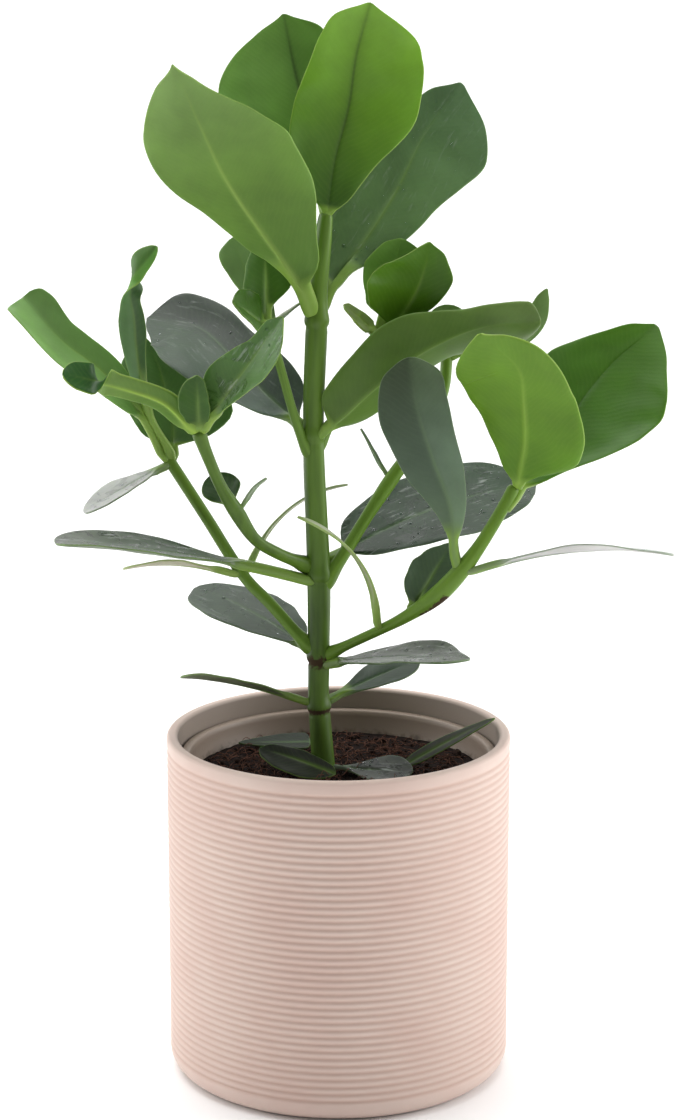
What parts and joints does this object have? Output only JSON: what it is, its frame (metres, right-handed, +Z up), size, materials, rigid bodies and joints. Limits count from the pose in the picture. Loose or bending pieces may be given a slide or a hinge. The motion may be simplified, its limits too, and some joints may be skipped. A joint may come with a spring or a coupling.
{
  "type": "potted clusia plant",
  "caption": "Branching house plant with thick leathery leaves, growing from soil in a plastic pot inside a straight, finely ribbed cover pot that stands on its flat foot.",
  "frame": {"origin": "middle of the cover pot's flat foot, on the surface it stands on", "axes": "+Z up along the pot's axis; -Y is the plant's front; +X to the right as seen from the front"},
  "size_m": [0.2623, 0.14, 0.4336],
  "materials": {
    "pot_ceramic": "matte",
    "grow_pot_plastic": "matte",
    "soil": "matte",
    "stem_green": "satin",
    "leaf_green": "satin",
    "leaf_young": "satin",
    "leaf_deep": "satin",
    "leaf_grey": "satin"
  },
  "bodies": {
    "root": {"cover_pot": "pot_ceramic", "grow_pot": "grow_pot_plastic", "potting_soil": "soil", "main_stem": "stem_green", "branch_left_low": "stem_green", "branch_right_low": "stem_green", "branch_left_high": "stem_green", "branch_right_high": "stem_green", "shoot_left": "stem_green", "shoot_right": "stem_green", "leaf_crown_front": "leaf_green", "leaf_crown_right": "leaf_deep", "leaf_crown_top": "leaf_young", "leaf_crown_back": "leaf_green", "leaf_fourth_left": "leaf_grey", "leaf_fourth_right": "leaf_deep", "leaf_third_left": "leaf_deep", "leaf_third_right": "leaf_grey", "leaf_second_left": "leaf_grey", "leaf_second_right": "leaf_grey", "leaf_first_left": "leaf_deep", "leaf_first_right": "leaf_grey", "leaf_soil_back": "leaf_grey", "leaf_soil_front": "leaf_deep", "leaf_soil_wet": "leaf_grey", "leaf_soil_rim": "leaf_deep", "leaf_left_low_strap": "leaf_green", "leaf_left_low_arc": "leaf_deep", "leaf_left_low_long": "leaf_green", "leaf_left_low_upright": "leaf_green", "leaf_left_low_broad": "leaf_deep", "leaf_left_low_silver": "leaf_grey", "leaf_left_high_round": "leaf_deep", "leaf_left_high_spike": "leaf_grey", "leaf_left_high_twisted": "leaf_young", "leaf_left_high_curved": "leaf_green", "leaf_left_high_small": "leaf_deep", "leaf_inner_left_outer": "leaf_green", "leaf_inner_left_keeled": "leaf_deep", "leaf_inner_left_small": "leaf_deep", "leaf_inner_left_sliver": "leaf_grey", "leaf_inner_right_front": "leaf_green", "leaf_inner_right_back": "leaf_green", "leaf_inner_right_spear": "leaf_young", "leaf_right_low_arc": "leaf_green", "leaf_right_low_round": "leaf_deep", "leaf_right_low_dark": "leaf_grey", "leaf_right_low_silver": "leaf_grey", "leaf_right_low_lime": "leaf_young", "leaf_right_low_far": "leaf_green", "leaf_right_high_end": "leaf_deep", "leaf_right_high_bud": "leaf_deep", "leaf_right_high_sliver": "leaf_grey"}
  },
  "joints": []
}
